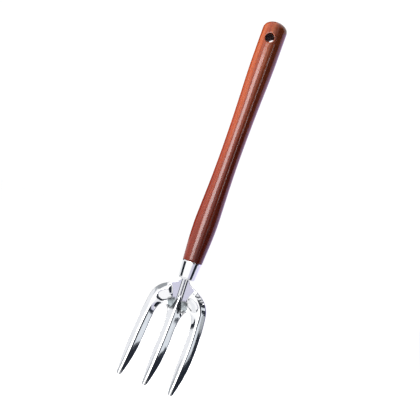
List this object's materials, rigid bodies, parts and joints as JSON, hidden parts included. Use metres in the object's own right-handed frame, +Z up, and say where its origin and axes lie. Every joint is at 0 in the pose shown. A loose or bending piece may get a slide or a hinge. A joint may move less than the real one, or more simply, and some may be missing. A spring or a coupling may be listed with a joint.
{
  "type": "hand fork",
  "caption": "Long-handled hand fork for weeding and loosening soil: a pressed polished steel head, a tapered ferrule and a turned wooden handle with a hang hole.",
  "frame": {"origin": "middle of the hang hole, on the handle's axis", "axes": "+Z up the handle towards its rounded end, +Y from the front of the head to its back (along the hang hole), +X across the tines"},
  "size_m": [0.0826, 0.0417, 0.4582],
  "materials": {
    "lacquered_wood": "reddish-brown hardwood under clear gloss lacquer",
    "polished_steel": "mirror-polished stainless steel",
    "bare_steel": "drawn steel rod, unpolished",
    "weld_metal": "cleaned weld bead"
  },
  "bodies": {
    "root": {"handle": "lacquered_wood", "ferrule": "polished_steel", "fork_head": "polished_steel", "tang": "bare_steel", "tang_welds": "weld_metal"}
  },
  "joints": []
}
